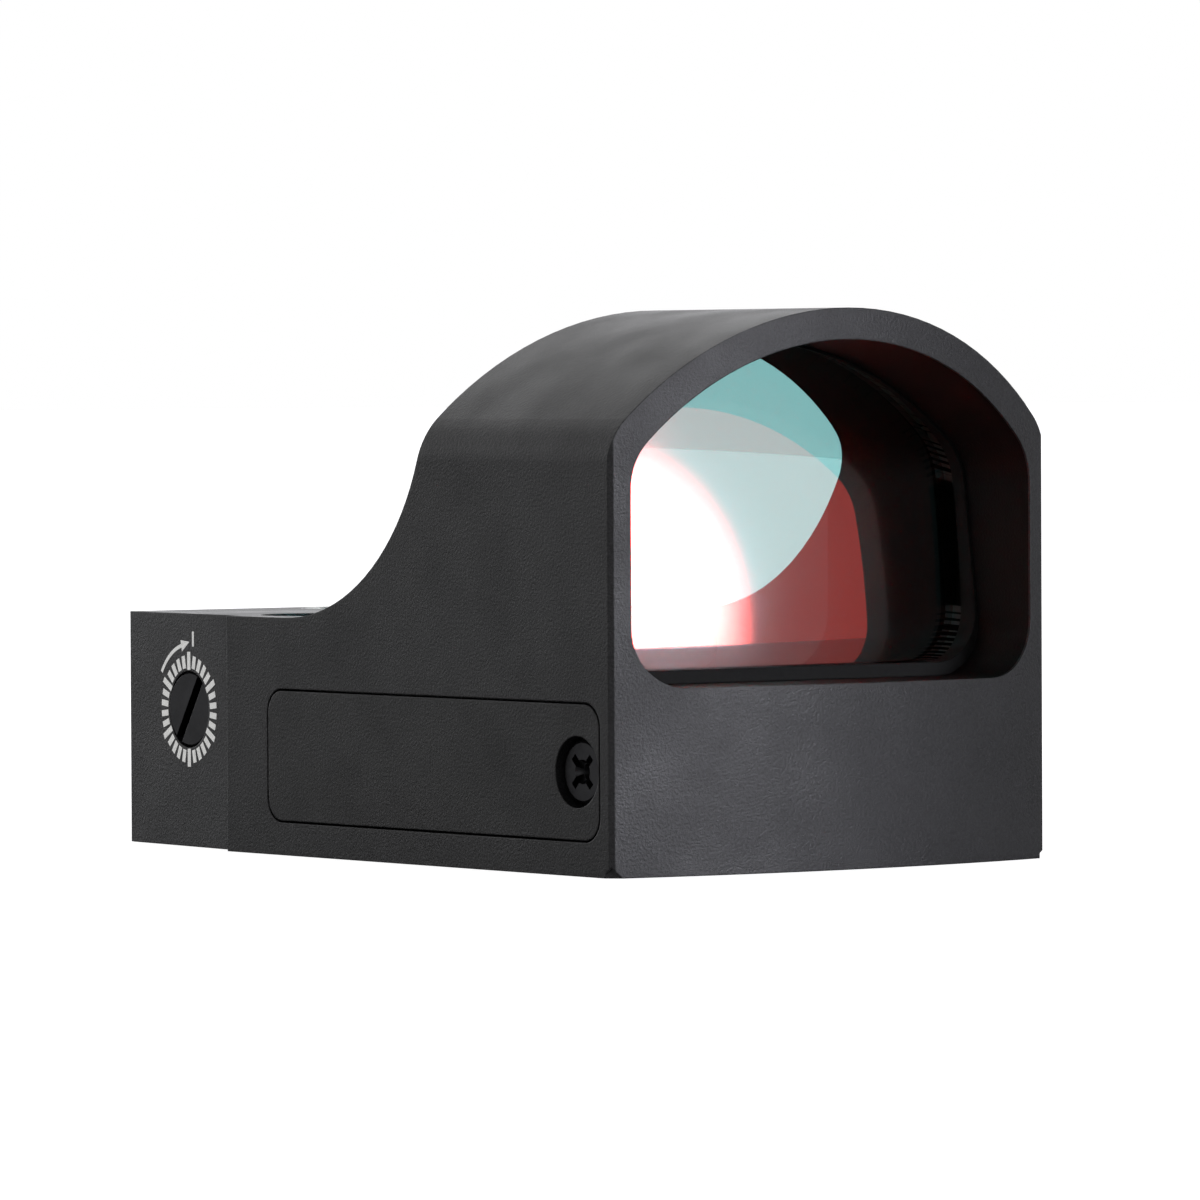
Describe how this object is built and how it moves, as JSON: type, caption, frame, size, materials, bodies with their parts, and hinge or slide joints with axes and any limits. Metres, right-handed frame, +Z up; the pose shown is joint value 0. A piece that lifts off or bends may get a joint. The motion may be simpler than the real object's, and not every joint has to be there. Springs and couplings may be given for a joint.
{
  "type": "red dot finder",
  "caption": "Open reflex sight with an arched hood, tilted coated lens, coin cell side drawer, slotted windage and elevation adjusters and push buttons.",
  "frame": {"origin": "centre of the underside", "axes": "+Z up, the lens looks along -Y, the eye is at +Y, the battery door and the windage dial are on the -X side"},
  "size_m": [0.028, 0.0466, 0.0283],
  "materials": {
    "anodised_alloy": "bead-blasted, black anodised",
    "anodised_door": "bead-blasted, black anodised, slightly darker",
    "black_steel": "black oxide",
    "bare_steel": "ground",
    "spring_steel": "drawn wire",
    "cell_case": "nickel plated, brushed",
    "brass": "machined",
    "contact_plate": "gold plated leaf",
    "lens_glass": "polished, anti-reflection coated",
    "lens_coating": "polished, red-reflecting coating",
    "window_glass": "polished",
    "seal_black": "cured sealant",
    "button_rubber": "moulded, matte",
    "tray_polymer": "moulded, fine texture",
    "board": "solder resist over laminate",
    "flex_amber": "polyimide film",
    "chip_black": "moulded epoxy",
    "ceramic_parts": "sintered ceramic with tinned ends",
    "switch_steel": "stamped",
    "led_lens": "clear red epoxy"
  },
  "bodies": {
    "housing": {"housing": "anodised_alloy", "lens_front_glass": "lens_coating", "lens_rear_glass": "lens_glass", "lens_seal": "seal_black", "emitter_window": "window_glass", "base_cover": "anodised_door", "base_gasket": "seal_black", "base_screws": "black_steel", "positive_contact": "contact_plate", "negative_contact": "contact_plate", "circuit_board": "board", "controller_chip": "chip_black", "board_components": "ceramic_parts", "switch_board": "board", "up_switch": "switch_steel", "down_switch": "switch_steel", "guide_pins": "bare_steel", "windage_return_spring": "spring_steel"},
    "battery_drawer": {"battery_door": "anodised_door", "battery_tray": "tray_polymer", "door_gasket": "seal_black", "coin_cell": "cell_case"},
    "door_screw": {"door_screw": "black_steel"},
    "up_button": {"up_button": "button_rubber", "up_plunger": "chip_black"},
    "down_button": {"down_button": "button_rubber", "down_plunger": "chip_black"},
    "windage_screw": {"windage_screw": "black_steel", "windage_o_ring": "seal_black", "windage_click_ball": "bare_steel", "windage_click_spring": "spring_steel", "windage_clip": "spring_steel"},
    "elevation_screw": {"elevation_screw": "black_steel", "elevation_o_ring": "seal_black", "elevation_click_ball": "bare_steel", "elevation_click_spring": "spring_steel", "elevation_clip": "spring_steel"},
    "elevation_nut": {"elevation_nut": "brass"},
    "windage_carriage": {"windage_carriage": "brass", "elevation_return_spring": "spring_steel"},
    "emitter_block": {"emitter_block": "anodised_door", "emitter_led": "led_lens", "led_flex": "flex_amber"}
  },
  "joints": [
    {"name": "windage_turn", "type": "hinge", "parent": "housing", "child": "windage_screw", "pos_m": [-0.01275, 0.0171, 0.0073], "axis": [1, 0, 0], "range_deg": [-360, 360]},
    {"name": "windage_slide", "type": "slide", "parent": "housing", "child": "windage_carriage", "axis": [1, 0, 0], "range_m": [-0.00035, 0.00035], "deforming": ["windage_return_spring"]},
    {"name": "elevation_turn", "type": "hinge", "parent": "housing", "child": "elevation_screw", "pos_m": [0, 0.0196, 0.0124], "axis": [0, 0, 1], "range_deg": [-360, 360]},
    {"name": "elevation_nut_slide", "type": "slide", "parent": "housing", "child": "elevation_nut", "axis": [0, 0, 1], "range_m": [-0.00035, 0.00035]},
    {"name": "elevation_slide", "type": "slide", "parent": "windage_carriage", "child": "emitter_block", "axis": [0, 0, 1], "range_m": [-0.00035, 0.00035], "deforming": ["elevation_return_spring"]},
    {"name": "drawer_slide", "type": "slide", "parent": "housing", "child": "battery_drawer", "axis": [-1, 0, 0], "range_m": [0, 0.0235]},
    {"name": "door_screw_turn", "type": "hinge", "parent": "battery_drawer", "child": "door_screw", "pos_m": [-0.014, -0.0189, 0.0052], "axis": [1, 0, 0], "continuous": true},
    {"name": "up_press", "type": "slide", "parent": "housing", "child": "up_button", "axis": [-1, 0, 0], "range_m": [0, 0.0003]},
    {"name": "down_press", "type": "slide", "parent": "housing", "child": "down_button", "axis": [-1, 0, 0], "range_m": [0, 0.0003]}
  ],
  "couplings": [
    {"joint": "windage_turn", "follows": "windage_slide", "rad_per_m": -17950},
    {"joint": "elevation_turn", "follows": "elevation_slide", "rad_per_m": -17950},
    {"joint": "elevation_nut_slide", "follows": "elevation_slide", "ratio": 1}
  ]
}
